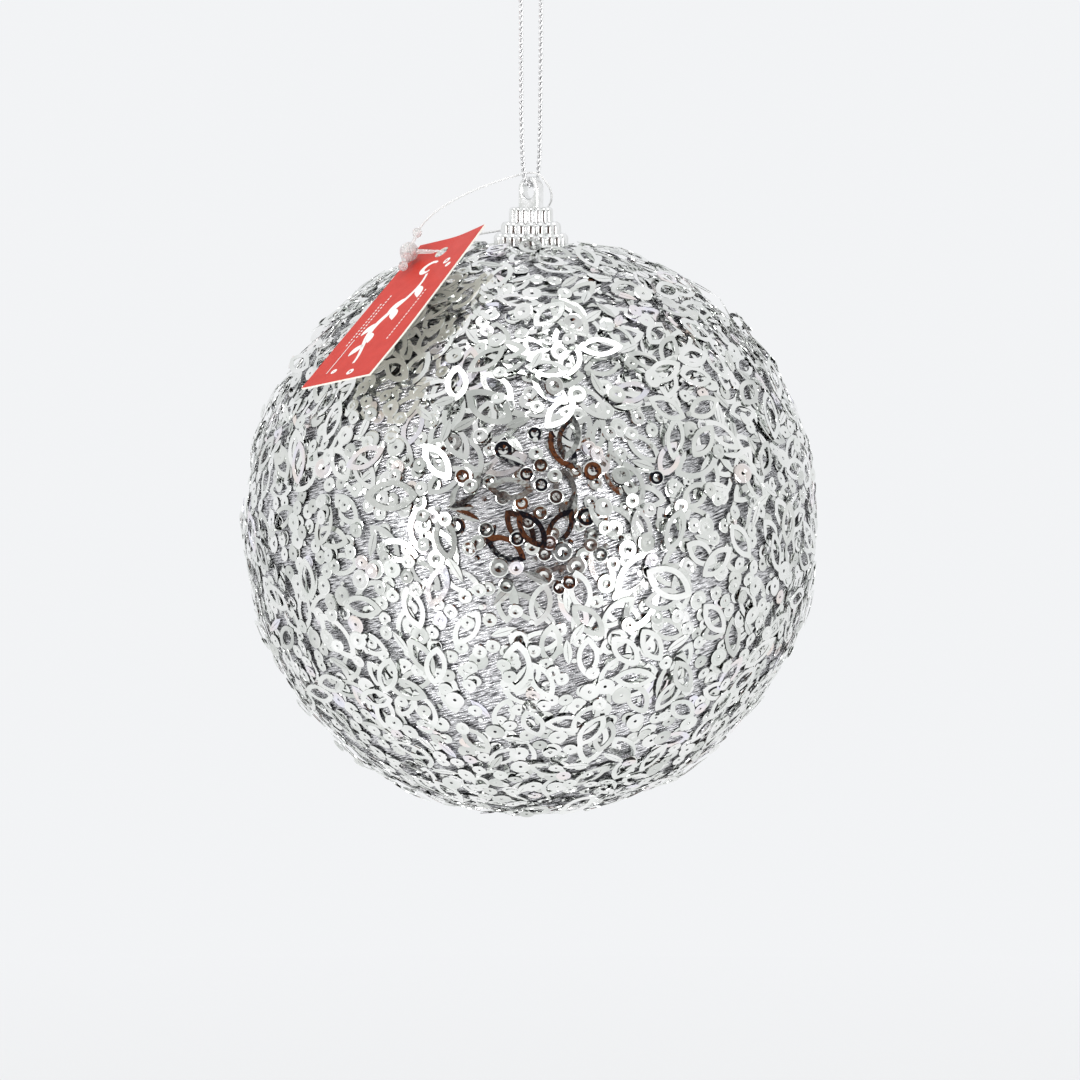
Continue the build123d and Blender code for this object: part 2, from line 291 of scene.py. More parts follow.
material_of = make_materials()


def dress(node, material):
    """Gives a CAD node its material."""
    slots = frame["nodes"][node].data.materials
    slots.clear()
    slots.append(material_of[material])


# --- cords ---
PLY_R, PLY_OFFSET, CORD_LAY = 0.27 * MM, 0.27 * MM, 2.3 * MM
CREVICE_SHADE_R = 0.185 * MM  # a dark core, painted shade that shows in the crevices between the plies
EYE_CENTRE = EYE - Vector((0, 0, 0.95 * MM))
STRAND = Vector((-2.05, -1.6, 0)).normalized()  # from the axis to the front strand
CORD_TOP = [  # distance out along STRAND and height, in millimetres, from the knot down
    (0.62, 1.6),
    (0.7, -0.1),
    (2.5, -2.9),
    (2.62, -9.0),
    (2.6, -21.0),
    (2.52, -43.0),
    (2.3, -53.5),
]


def route_curve(name, points):
    """A smooth curve through a route's control points, in metres."""
    data = bpy.data.curves.new(name, "CURVE")
    data.dimensions = "3D"
    data.resolution_u = 24
    spline = data.splines.new("NURBS")
    spline.points.add(len(points) - 1)
    for point, place in zip(spline.points, points):
        point.co = (*place, 1)
    spline.order_u = 3
    spline.use_endpoint_u = True
    return data


def route_points(name, points, step):
    """Even points along a route's smooth curve."""
    holder = bpy.data.objects.new(name, route_curve(name, points))
    bpy.context.scene.collection.objects.link(holder)
    bpy.context.view_layer.update()
    line = bpy.data.meshes.new_from_object(holder.evaluated_get(bpy.context.evaluated_depsgraph_get()))
    places = np.array([v.co for v in line.vertices])
    bpy.data.objects.remove(holder)
    bpy.data.meshes.remove(line)
    gaps = np.linalg.norm(np.diff(places, axis=0), axis=1)
    keep = np.concatenate([[True], gaps > 1e-9])
    places = places[keep]
    along = np.concatenate([[0], np.cumsum(np.linalg.norm(np.diff(places, axis=0), axis=1))])
    wanted = np.linspace(0, along[-1], max(2, int(along[-1] / step)))
    return np.stack([np.interp(wanted, along, places[:, k]) for k in range(3)], axis=1), along[-1]


def carried_frames(places):
    """Two directions across a line at each of its points, which turn no more than the line does."""
    along = np.gradient(places, axis=0)
    along /= np.linalg.norm(along, axis=1, keepdims=True)
    first = np.cross(along[0], [0.3, 0.9, 0.2])
    side = [first / np.linalg.norm(first)]
    for direction in along[1:]:
        carried = side[-1] - direction * np.dot(side[-1], direction)
        side.append(carried / np.linalg.norm(carried))
    return np.array(side), np.cross(along, side)


def tube_parts(centres, side, up, radii, around=8):
    """Vertices and quads of a tube that is open at both ends."""
    turns = 2 * np.pi * np.arange(around) / around
    rings = (
        centres[:, None, :]
        + side[:, None, :] * (np.cos(turns)[None, :, None] * radii[:, None, None])
        + up[:, None, :] * (np.sin(turns)[None, :, None] * radii[:, None, None])
    )
    vertices = rings.reshape(-1, 3)
    count = len(centres)
    quads = []
    for k in range(around):
        n = (k + 1) % around
        low = np.arange(count - 1) * around
        quads.append(np.stack([low + k, low + n, low + n + around, low + k + around], axis=1))
    return vertices, np.concatenate(quads)


def twisted(name, places, strand_r, offset, lay, plies, around=8, start_turn=0.0):
    """Strands that wind round each other along a line, as one mesh, each drawn in to a tip at its ends."""
    side, up = carried_frames(places)
    length = np.concatenate([[0], np.cumsum(np.linalg.norm(np.diff(places, axis=0), axis=1))])
    vertices, quads, base = [], [], 0
    for ply in range(plies):
        angle = 2 * np.pi * (length / lay + ply / plies) + start_turn
        shift = side * np.cos(angle)[:, None] + up * np.sin(angle)[:, None]
        centres = places + shift * offset
        edge = np.minimum(length, length[-1] - length)
        radii = strand_r * np.clip(np.sqrt(edge / strand_r + 0.02), 0.05, 1)
        v, q = tube_parts(centres, side, up, radii, around)
        vertices.append(v)
        quads.append(q + base)
        base += len(v)
    return quad_object(name, np.concatenate(vertices), np.concatenate(quads))


def cord_route():
    """The hanging cord: down the front strand, through the eye and up the rear strand."""
    front = [STRAND * (out * MM) + Vector((0, 0, z * MM)) for out, z in CORD_TOP]
    near_eye = [
        TAB_FACE * (2.25 * MM) - TAB_ALONG * (0.35 * MM) + EYE_CENTRE + Vector((0, 0, 4.4 * MM)),
        TAB_FACE * (2.0 * MM) + EYE,
    ]
    half = front + near_eye
    return half + [Vector((-p.x, -p.y, p.z)) for p in reversed(half)]


def make_cord():
    """The hanging cord: two bright plies wound round a dark core, which is painted shade for the crevices
    between them.
    """
    places, length = route_points("cord_route", cord_route(), 0.12 * MM)
    cord = twisted("cord_strands", places, PLY_R, PLY_OFFSET, CORD_LAY, 2)
    cord.data.materials.append(material_of["cord"])
    crevice_shade = twisted("cord_crevice_shade", places[2:-2], CREVICE_SHADE_R, 0.0, CORD_LAY, 1)
    crevice_shade.data.materials.append(material_of["cord_crevice_shade"])
    for part in (cord, crevice_shade):
        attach(part, "hanger")
        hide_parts("hanging_cord")


TAG_TOP, TAG_FOOT, TAG_HALF = -5.0, 42.0, 10.0  # edges from the hole's middle, in millimetres
TAG_T = 0.4  # in millimetres
CARD_ROOM = (TAG_T + 0.35) * MM  # what the sequins leave free under the printed face
TAG_SWING = math.tan(math.radians(max(joints["tag_turn"]["range_deg"])))  # how far the tag turns on its hole
# the tag's directions: down its length and across to its right edge
down_guess = Vector((-0.492, -0.644, -0.586))
TAG_DOWN = (down_guess - TAG_OUT * down_guess.dot(TAG_OUT)).normalized()
TAG_ACROSS = TAG_OUT.cross(TAG_DOWN)


def on_tag(down, across, height):
    """A point in millimetres along the tag's directions from its hole's middle, on the printed face."""
    return TAG_HOLE + (TAG_DOWN * down + TAG_ACROSS * across + TAG_OUT * height) * MM


def by_ball(x, y, z):
    """A point in millimetres from the ball's centre."""
    return BALL + Vector((x, y, z)) * MM


LOCK_MIDDLE = on_tag(0.9, -7.1, 2.35)
LOCK_UP = (TAG_DOWN * -0.93 + TAG_OUT * 0.2 - TAG_ACROSS * 0.1).normalized()
BEAD_MIDDLE = LOCK_MIDDLE + LOCK_UP * (5.2 * MM)
FILAMENT_R = 0.225 * MM
TAIL_END = on_tag(0.4, -1.4, 0.8)


def filament_route():
    """The filament: from the bead over the cap, round behind it, under the card and out through its hole."""
    leaving = BEAD_MIDDLE + LOCK_UP * (0.97 * MM)
    return [
        leaving,
        leaving + (LOCK_UP * 2.2 + Vector((0.9, 0, 0.6))) * MM,
        by_ball(-16.6, -5.6, 67.2),
        by_ball(-10.9, -2.6, 69.9),
        by_ball(-6.3, -0.5, 71.5),
        by_ball(-3.5, 0.4, 72.3),
        by_ball(-1.2, 0.1, 72.95),
        by_ball(0.9, -0.3, 73.1),
        by_ball(2.4, -0.7, 72.1),
        by_ball(3.9, 0.1, 70.0),
        by_ball(4.4, 2.5, 67.9),
        by_ball(3.7, 5.6, 65.9),
        by_ball(1.6, 8.0, 63.9),
        by_ball(-2.6, 10.4, 61.5),
        by_ball(-8.0, 9.8, 60.7),
        by_ball(-12.6, 5.6, 60.0),
        by_ball(-15.6, -0.6, 59.4),
        by_ball(-15.8, -8.0, 58.9),
        on_tag(-4.4, -1.3, -2.35),
        on_tag(0, 0, -1.75),
        on_tag(0, 0, 0.8),
        TAIL_END,
    ]


def make_filament():
    """The clear filament, which runs between the ball and the tag's loop pin."""
    places, length = route_points("filament_route", filament_route(), 0.3 * MM)
    side, up = carried_frames(places)
    vertices, quads = tube_parts(places, side, up, np.full(len(places), FILAMENT_R), 12)
    filament = quad_object("filament", vertices, quads)
    filament.data.materials.append(material_of["filament"])
    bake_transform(filament)
    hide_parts("tag_filament")


# --- camera, light and floor ---
VIEW_UP = 4.5  # degrees above level
VIEW_DISTANCE = 1.2
FRAME_WIDTH = 222.5 * MM  # what the picture spans at the ball
AIM_SIDE, AIM_UP = 1.85 * MM, -2.5 * MM  # the picture's middle from the ball's
SENSOR = 36
FLOOR_DROP = 0.45  # from the ball's centre to the floor
FLOOR_R, FADE_FROM, FADE_TO = 2.6, 0.4, 2.4  # the floor's radius, and where it fades away
SOFTBOXES = [  # name, azimuth and elevation in degrees, distance, width and height in metres, watts
    ("window_left", -42, 4, 1.5, 0.40, 0.8, 8.5),
    ("window_right", 38, -4, 1.5, 0.34, 0.7, 7.5),
    ("ceiling", 10, 72, 1.4, 0.7, 0.7, 4.5),
]
STUDIO = [  # the surroundings from behind the camera, 0, to behind the ball, 1
    (0.0, (0.54, 0.55, 0.54, 1)),
    (0.42, (0.94, 0.95, 0.94, 1)),
    (0.72, (0.92, 0.925, 0.93, 1)),
    (1.0, (0.89, 0.90, 0.915, 1)),
]
CLOTHING = [(0.46, (0.010, 0.010, 0.014, 1)), (0.68, (0.20, 0.07, 0.028, 1))]  # black to brown
CLOTHING_SIDE, CLOTHING_DROP = 0.03, 0.02  # its middle against the camera's direction
RAGGED = 0.60  # how much noise breaks up its outline
CLOTHING_FROM, CLOTHING_TO = 1.175, 1.200  # the outline lies where direction and noise add up to this


def make_camera():
    """The photo's viewpoint: in front, slightly above and far off."""
    camera = bpy.data.objects.new("camera", bpy.data.cameras.new("camera"))
    bpy.context.scene.collection.objects.link(camera)
    lean = math.radians(VIEW_UP)
    back = Vector((0, -math.cos(lean), math.sin(lean)))
    upward = Vector((0, math.sin(lean), math.cos(lean)))
    aim = BALL + Vector((AIM_SIDE, 0, 0)) + upward * AIM_UP
    camera.location = aim + back * VIEW_DISTANCE
    camera.rotation_mode = "QUATERNION"
    camera.rotation_quaternion = (-back).to_track_quat("-Z", "Y")
    camera.data.sensor_width = SENSOR
    camera.data.lens = SENSOR * VIEW_DISTANCE / FRAME_WIDTH
    camera.data.clip_start = 0.05
    camera.data.clip_end = 60
    bpy.context.scene.camera = camera


def softbox(name, azimuth, elevation, distance, width, height, power):
    """A rectangular light aimed at the ball."""
    data = bpy.data.lights.new(name, "AREA")
    data.shape = "RECTANGLE"
    data.size, data.size_y = width, height
    data.energy = power
    lamp = bpy.data.objects.new(name, data)
    bpy.context.scene.collection.objects.link(lamp)
    a, e = math.radians(azimuth), math.radians(elevation)
    out = Vector((math.sin(a) * math.cos(e), -math.cos(a) * math.cos(e), math.sin(e)))
    lamp.location = BALL + out * distance
    lamp.rotation_mode = "QUATERNION"
    lamp.rotation_quaternion = (-out).to_track_quat("-Z", "Y")


def make_world():
    """A pale studio all round, with the dark clothing and equipment behind the camera that a mirror sees."""
    world = bpy.data.worlds.new("studio")
    bpy.context.scene.world = world
    world.use_nodes = True
    tree = world.node_tree
    tree.nodes.clear()
    output = tree.nodes.new("ShaderNodeOutputWorld")
    backdrop = tree.nodes.new("ShaderNodeBackground")
    source = tree.nodes.new("ShaderNodeTexCoord")
    split = tree.nodes.new("ShaderNodeSeparateXYZ")
    tree.links.new(source.outputs["Generated"], split.inputs["Vector"])

    turn = tree.nodes.new("ShaderNodeMapRange")
    turn.inputs["From Min"].default_value = -1
    turn.inputs["From Max"].default_value = 1
    tree.links.new(split.outputs["Y"], turn.inputs["Value"])
    pale = blend_colors(tree, turn.outputs["Result"], STUDIO)

    lean = math.radians(VIEW_UP)
    toward = tree.nodes.new("ShaderNodeVectorMath")
    toward.operation = "DOT_PRODUCT"
    toward.inputs[1].default_value = (CLOTHING_SIDE, -math.cos(lean), math.sin(lean) - CLOTHING_DROP)
    tree.links.new(source.outputs["Generated"], toward.inputs[0])
    ragged = tree.nodes.new("ShaderNodeTexNoise")
    ragged.inputs["Scale"].default_value = 7.0
    ragged.inputs["Detail"].default_value = 2.0
    tree.links.new(source.outputs["Generated"], ragged.inputs["Vector"])
    reach = tree.nodes.new("ShaderNodeMath")
    reach.operation = "MULTIPLY_ADD"
    reach.inputs[1].default_value = RAGGED
    tree.links.new(ragged.outputs["Fac"], reach.inputs[0])
    tree.links.new(toward.outputs["Value"], reach.inputs[2])
    inside = tree.nodes.new("ShaderNodeMapRange")
    inside.inputs["From Min"].default_value = CLOTHING_FROM
    inside.inputs["From Max"].default_value = CLOTHING_TO
    tree.links.new(reach.outputs["Value"], inside.inputs["Value"])
    blotch = tree.nodes.new("ShaderNodeTexNoise")
    blotch.inputs["Scale"].default_value = 11.0
    tree.links.new(source.outputs["Generated"], blotch.inputs["Vector"])
    browns = blend_colors(tree, blotch.outputs["Fac"], CLOTHING)

    mix = tree.nodes.new("ShaderNodeMix")
    mix.data_type = "RGBA"
    tree.links.new(inside.outputs["Result"], mix.inputs["Factor"])
    tree.links.new(pale, mix.inputs["A"])
    tree.links.new(browns, mix.inputs["B"])
    tree.links.new(mix.outputs["Result"], backdrop.inputs["Color"])
    tree.links.new(backdrop.outputs["Background"], output.inputs["Surface"])


def make_floor():
    """A pale floor far below, which fades into the backdrop towards its edge."""
    rings, steps = 24, 96
    vertices = [(0, 0, 0)]
    faces = []
    for r in range(1, rings + 1):
        for k in range(steps):
            turn, out = 2 * math.pi * k / steps, FLOOR_R * r / rings
            vertices.append((out * math.cos(turn), out * math.sin(turn), 0))
    for k in range(steps):
        n = (k + 1) % steps
        faces.append((0, 1 + k, 1 + n))
        for r in range(rings - 1):
            a = 1 + r * steps
            faces.append((a + k, a + steps + k, a + steps + n, a + n))
    floor = new_object("floor", vertices, faces)
    floor.location = (0, 0, BALL.z - FLOOR_DROP)
    material, tree, shader = surface("floor", (0.90, 0.90, 0.90, 1), roughness=0.9)
    source = tree.nodes.new("ShaderNodeTexCoord")
    far = tree.nodes.new("ShaderNodeVectorMath")
    far.operation = "LENGTH"
    tree.links.new(source.outputs["Object"], far.inputs[0])
    spread(tree, far.outputs["Value"], shader.inputs["Alpha"], 1.0, 0.0, FADE_FROM, FADE_TO)
    floor.data.materials.append(material)


make_camera()
make_world()
for placing in SOFTBOXES:
    softbox(*placing)
make_floor()
make_cord()
make_filament()


# --- the sequins ---
WINDING_R = CORE_R + 0.6 * MM
SEQUIN_T = 0.1 * MM
WIDE = 1.33  # the larger round sequins against the common ones
RING_SIZES = {"ring": (9.2, 4.6, 1.0), "large_ring": (12.0, 6.2, 1.1)}  # length, width and band, in mm
PILE_LIMIT = BED_R + 2.3 * MM  # the topmost sequins reach no farther out
NEAR_PIN, PIN_LIMIT = 0.88, BED_R + 1.5 * MM  # nor so far near the pole, where the loop pin passes
CAP_KEEP = 7.9 * MM  # no sequin reaches nearer the ball's axis than this at the top
RELIEF_CELLS = 220  # along each side of the cube that the relief is kept on
FIRST_GAP = 0.05 * MM  # under the first sequins
MAX_SLOPE = 0.22  # how far the pile tilts a sequin
LEAST_SHARE = 0.72  # of the places that are filled where the sequins are thinnest
JITTER_UP, JITTER_ROUND = 0.006, 0.02  # of a sequin's place, as a share of the radius and in radians
SPIN_BY_CAP = 0.12  # how far the sequins beside the cap turn from lying along its foot, in radians
LEAN_AT_TOP = 1.7  # how much more the sequins stand up at the top


def pointed_oval(length, width, count):
    """Points round two equal arcs that meet in points on the X axis."""
    half, rise = length / 2, width / 2
    radius = (half**2 + rise**2) / (2 * rise)
    reach = math.asin(half / radius)
    angles = np.linspace(-reach, reach, count // 2 + 1)[:-1]
    upper = np.stack([radius * np.sin(angles), radius * np.cos(angles) - (radius - rise)], axis=1)
    return np.concatenate([upper, -upper])


def banded(outer, inner, thickness):
    """A flat open ring of film: vertices and quads between two outlines."""
    n = len(outer)
    vertices = np.concatenate(
        [
            np.c_[outer, np.zeros(n)],
            np.c_[inner, np.zeros(n)],
            np.c_[inner, np.full(n, 1.15 * thickness)],
            np.c_[outer, np.full(n, thickness)],
        ]
    )
    k = np.arange(n)
    after = (k + 1) % n
    quads = []
    for low in range(4):
        a, b = low * n, (low + 1) % 4 * n
        quads.append(np.stack([a + k, b + k, b + after, a + after], axis=1))
    return vertices, np.concatenate(quads)


def cup_shape(widening=1.0):
    """A pierced round sequin: a flat ring round a shallow dimple, with a bevelled rim."""
    profile = [(0.26, 0.02), (0.74, 0.13), (1.30, 0.13), (1.50, 0.06), (1.46, 0.0), (0.30, -0.04)]
    around = 18
    turns = 2 * np.pi * np.arange(around) / around
    rims = [(r * widening, h) for r, h in profile]
    vertices = np.array([(r * math.cos(t), r * math.sin(t), h) for r, h in rims for t in turns]) * MM
    k = np.arange(around)
    after = (k + 1) % around
    quads = []
    for low in range(len(profile)):
        a, b = low * around, (low + 1) % len(profile) * around
        quads.append(np.stack([a + k, a + after, b + after, b + k], axis=1))
    return vertices, np.concatenate(quads)


def ring_shape(length, width, band):
    """An open pointed oval."""
    outer = pointed_oval(length * MM, width * MM, 24)
    inner = pointed_oval((length - 3.2 * band) * MM, (width - 2 * band) * MM, 24)
    return banded(outer, inner, SEQUIN_T)


def leaf_shape():
    """A closed pointed oval with a crease along its middle."""
    outer = pointed_oval(5.6 * MM, 1.8 * MM, 16)
    inner = outer * [0.9, 0.05]
    return banded(outer, inner, SEQUIN_T)


def dot_shape():
    """A tiny round disc."""
    turns = 2 * np.pi * np.arange(12) / 12
    outer = np.stack([np.cos(turns), np.sin(turns)], axis=1) * (0.55 * MM)
    return banded(outer, outer * 0.08, SEQUIN_T)


def footprint(kind):
    """Sample points over what a sequin covers, in its own plane."""
    if kind in ("cup", "wide_cup"):
        turns = 2 * np.pi * np.arange(14) / 14
        disc = [(0, 0)] + [(0.75 * math.cos(t), 0.75 * math.sin(t)) for t in turns[::2]]
        rim = [(1.42 * math.cos(t), 1.42 * math.sin(t)) for t in turns]
        return np.array(disc + rim) * (WIDE if kind == "wide_cup" else 1) * MM
    if kind in RING_SIZES:
        length, width, _ = RING_SIZES[kind]
        return np.concatenate(
            [pointed_oval((length - k) * MM, (width - 0.7 * k) * MM, 28) for k in (0.1, 1.1)]
        )
    if kind == "leaf":
        return np.concatenate([pointed_oval(5.5 * MM, 1.7 * MM, 16), pointed_oval(3.6 * MM, 0.7 * MM, 12)])
    turns = 2 * np.pi * np.arange(6) / 6
    return np.concatenate([[[0, 0]], np.stack([np.cos(turns), np.sin(turns)], axis=1) * (0.5 * MM)])


class Relief:
    """How far the ball's surface reaches outwards in every direction, as sequins pile up on it."""

    def __init__(self, radius, cells):
        self.cells = cells
        self.height = np.full(6 * cells * cells, radius)

    def at(self, directions):
        """Each direction's cell on a cube round the ball."""
        size = np.abs(directions)
        face = size.argmax(axis=1)
        rows = np.arange(len(directions))
        dominant = directions[rows, face]
        u = directions[rows, (face + 1) % 3] / np.abs(dominant)
        v = directions[rows, (face + 2) % 3] / np.abs(dominant)
        i = np.clip(((u + 1) / 2 * self.cells).astype(int), 0, self.cells - 1)
        j = np.clip(((v + 1) / 2 * self.cells).astype(int), 0, self.cells - 1)
        return ((2 * face + (dominant > 0)) * self.cells + i) * self.cells + j


def touches_card(places):
    """Whether any of these places from the ball's centre reaches up to the card's underside."""
    from_hole = places + np.array(BALL - TAG_HOLE)
    down, across, out = (from_hole @ np.array(axis) for axis in (TAG_DOWN, TAG_ACROSS, TAG_OUT))
    swept = (TAG_HALF + 2) * MM + TAG_SWING * np.abs(down)
    beneath = (down > (TAG_TOP - 5) * MM) & (down < (TAG_FOOT + 3) * MM) & (np.abs(across) < swept)
    return bool(np.any(beneath & (out > -CARD_ROOM)))


def seat(relief, out, side, up, samples, thickness, lean):
    """Lays a plate on the relief. Returns its middle's distance from the ball's centre and its slopes,
    or nothing where the pile would grow too high."""
    reach = samples[:, :1] * side + samples[:, 1:] * up
    directions = out + reach / BED_R
    directions /= np.linalg.norm(directions, axis=1, keepdims=True)
    cells = relief.at(directions)
    facing = directions @ out
    heights = relief.height[cells] * facing
    table = np.c_[samples, np.ones(len(samples))]
    slopes = np.linalg.lstsq(table, heights, rcond=None)[0][:2]
    slopes = np.clip(slopes, -MAX_SLOPE, MAX_SLOPE) + lean
    middle = np.max(heights - samples @ slopes)
    top = (middle + samples @ slopes + thickness) / facing
    limit = PIN_LIMIT if out[2] > NEAR_PIN else PILE_LIMIT
    if top.max() > limit or touches_card(directions * top[:, None]):
        return None, None
    relief.height[cells] = np.maximum(relief.height[cells], top)
    return middle, slopes


def crowding(out):
    """The share of places that are filled: thin at the front and back, crowded round the cap."""
    side = 0.5 - 0.5 * math.cos(2 * math.atan2(out[0], -out[1]))
    top = min(max((out[2] - 0.20) / 0.40, 0), 1)
    low = min(max((-out[2] - 0.35) / 0.40, 0), 1)
    return LEAST_SHARE + (1 - LEAST_SHARE) * max(0.75 * side, top, 0.6 * low)


def kind_at(out):
    """A sequin's kind: open ovals and leaves are commonest near the top, round cups everywhere else."""
    top = min(max((out[2] - 0.15) / 0.50, 0), 1)
    # in the order of SHAPES
    shares = np.array([0.50 - 0.28 * top, 0.12, 0.19 + 0.20 * top, 0.015, 0.06 + 0.12 * top, 0.115])
    return rng.choice(list(SHAPES), p=shares / shares.sum())


SHAPES = {
    "cup": cup_shape(),
    "wide_cup": cup_shape(WIDE),
    "ring": ring_shape(*RING_SIZES["ring"]),
    "large_ring": ring_shape(*RING_SIZES["large_ring"]),
    "leaf": leaf_shape(),
    "dot": dot_shape(),
}
LOWER_PLACES, UPPER_PLACES = 2600, 3000
LOWER_LEAN, UPPER_LEAN = 0.03, 0.05  # how far the sequins lean out of true at the sides and below
STACK = {kind: 0.14 * MM if "cup" in kind else SEQUIN_T for kind in SHAPES}
# from a sequin's middle to its far end and to its side, in millimetres
REACH = {"cup": 1.5, "wide_cup": 2.0, "ring": 4.8, "large_ring": 6.2, "leaf": 2.9, "dot": 0.6}
HALF_WIDTH = {"cup": 1.5, "wide_cup": 2.0, "ring": 2.3, "large_ring": 3.1, "leaf": 0.9, "dot": 0.6}
FILMS = list(FILM_LOOKS)
FILM_SHARE = [0.46, 0.28, 0.20, 0.06]


def lay_sequins(relief, count, lean):
    """Puts the sequins of a layer in random places. Returns their placings by kind."""
    placed = {kind: [] for kind in SHAPES}
    golden = math.pi * (3 - math.sqrt(5))
    order = rng.permutation(count)
    for k in order:
        z = 1 - (2 * k + 1) / count + rng.normal(0, JITTER_UP)
        z = min(max(z, -0.9999), 0.9999)
        flat = math.sqrt(1 - z * z)
        turn = golden * k + rng.normal(0, JITTER_ROUND)
        out = np.array([flat * math.cos(turn), flat * math.sin(turn), z])
        if rng.random() > crowding(out):
            continue
        kind = kind_at(out)
        by_cap = z > 0 and flat * BED_R < CAP_KEEP + REACH[kind] * MM
        if by_cap and flat * BED_R < CAP_KEEP + HALF_WIDTH[kind] * MM:
            continue
        side = np.cross(out, [0.02, 0.05, 1.0])
        side /= np.linalg.norm(side)
        across = np.cross(out, side)
        spin = rng.normal(0, SPIN_BY_CAP) if by_cap else rng.uniform(0, 2 * math.pi)
        side, across = (
            side * math.cos(spin) + across * math.sin(spin),
            across * math.cos(spin) - side * math.sin(spin),
        )
        samples = footprint_of[kind]
        tip = rng.normal(0, lean * (1 + LEAN_AT_TOP * max(z, 0)), 2)
        middle, slopes = seat(relief, out, side, across, samples, STACK[kind], tip)
        if middle is None:
            continue
        normal = out - side * slopes[0] - across * slopes[1]
        normal /= np.linalg.norm(normal)
        along = side + out * slopes[0]
        along -= normal * (along @ normal)
        along /= np.linalg.norm(along)
        placed[kind].append((out * middle, along, np.cross(normal, along), normal))
    return placed


footprint_of = {kind: footprint(kind) for kind in SHAPES}


def sequin_piece(name, placed, body, replaced):
    """Joins many sequins into one mesh, each with one of the films and its own patch of the bake map."""
    total = sum(len(places) for places in placed.values())
    columns = math.ceil(math.sqrt(total))
    vertices, quads, patch, films, base, serial = [], [], [], [], 0, 0
    for kind, places in placed.items():
        shape, faces = SHAPES[kind]
        span = np.abs(shape[:, :2]).max()
        spots = shape[:, :2] / span * 0.46 + 0.5
        for middle, along, across, normal in places:
            world = middle + shape[:, :1] * along + shape[:, 1:2] * across + shape[:, 2:] * normal
            vertices.append(world)
            quads.append(faces + base)
            column, row = serial % columns, serial // columns
            patch.append((spots + [column, row])[faces].reshape(-1, 2) / columns)
            films.append(np.full(len(faces), rng.choice(len(FILMS), p=FILM_SHARE)))
            base += len(shape)
            serial += 1
    vertices = np.concatenate(vertices) + np.array(BALL)
    thing = quad_object(name, vertices, np.concatenate(quads), smooth=False)
    for film_name in FILMS:
        thing.data.materials.append(material_of[film_name])
    thing.data.polygons.foreach_set("material_index", np.concatenate(films).astype(np.int32))
    layer = thing.data.uv_layers.new(name="OFBake")
    layer.data.foreach_set("uv", np.concatenate(patch).astype(np.float32).ravel())
    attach(thing, body)
    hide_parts(replaced)


def make_sequins():
    """The lower layer stands for the CAD's bed, the upper one for its separate sequins."""
    relief = Relief(WINDING_R + FIRST_GAP, RELIEF_CELLS)
    lower = lay_sequins(relief, LOWER_PLACES, LOWER_LEAN)
    upper = lay_sequins(relief, UPPER_PLACES, UPPER_LEAN)
    for k, name in enumerate(("lower_sequins_a", "lower_sequins_b")):
        sequin_piece(name, {kind: places[k::2] for kind, places in lower.items()}, "ball", "sequin_bed")
    for k, name in enumerate(("cups_a", "cups_b")):
        cups = {kind: upper[kind][k::2] for kind in ("cup", "wide_cup")}
        sequin_piece(name, cups, "ball", "cup_sequins")
    sequin_piece("rings", {kind: upper[kind] for kind in RING_SIZES}, "ball", "ring_sequins")
    sequin_piece("leaves", {"leaf": upper["leaf"]}, "ball", "leaf_sequins")
    sequin_piece("dots", {"dot": upper["dot"]}, "ball", "dot_sequins")


make_sequins()


# --- the thread wound on the core ---
THREAD_PITCH = 0.66 * MM
WIND_AXIS = Vector((-math.sin(WIND_TILT), 0, math.cos(WIND_TILT)))
RIDGE = 0.2 * MM  # how far the thread's crest stands out of its valleys
RIDGE_PROFILE = [0.0, 0.72, 1.0, 0.72]  # across one thread, as shares of RIDGE
SWAY = 0.35  # how far the rows sway sideways, as a share of the pitch


def make_winding():
    """Rows of thread laid on the core from pole to pole, one ridge to a row."""
    per_turn, columns = len(RIDGE_PROFILE), 240
    rows = int(math.pi * WINDING_R / THREAD_PITCH) * per_turn
    side = WIND_AXIS.orthogonal().normalized()
    across = WIND_AXIS.cross(side)
    row = np.arange(1, rows)
    phi = 2 * np.pi * np.arange(columns) / columns
    polar = np.pi * (row[:, None] / rows)
    swing = SWAY * np.sin(3 * phi + 1.1)[None, :] * THREAD_PITCH / WINDING_R * np.sin(polar)
    height = np.array([RIDGE_PROFILE[k % per_turn] for k in row])[:, None]
    radius = WINDING_R - RIDGE + RIDGE * height + 0.03 * MM * np.sin(7 * phi)[None, :]
    polar = polar + swing
    a, s, c = np.array(WIND_AXIS), np.array(side), np.array(across)
    points = (
        (radius * np.cos(polar))[..., None] * a
        + (radius * np.sin(polar) * np.cos(phi))[..., None] * s
        + (radius * np.sin(polar) * np.sin(phi))[..., None] * c
    ).reshape(-1, 3) + np.array(BALL)
    k = np.arange(columns)
    after = (k + 1) % columns
    quads = [
        np.stack([low + k, low + columns + k, low + columns + after, low + after], axis=1)
        for low in columns * np.arange(rows - 2)
    ]
    winding = quad_object("thread_ridges", points, np.concatenate(quads))
    winding.data.materials.append(material_of["thread"])
    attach(winding, "ball")
    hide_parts("thread_winding")


make_winding()

# --- the tag ---
HOLE_R, PATCH = 1.6, 3.2  # the hole, and half the side of the patch round it, in millimetres
CURL_SLOPE, CREASE_AT, CREASE_SOFT = 0.15, 1.0, 1.3  # rise of the bent corner, and its crease
CURL_END, CURL_SPAN = 30.0, 35.0  # the bend fades away down the card
INK_LIFT = 0.03


def curl(down, across):
    """How far the card lifts off its flat: its upper right half is bent up along a soft crease."""
    fade = min(max((CURL_END - down) / CURL_SPAN, 0), 1) ** 1.3
    return CURL_SLOPE * fade * CREASE_SOFT * math.log1p(math.exp((across - CREASE_AT) / CREASE_SOFT))


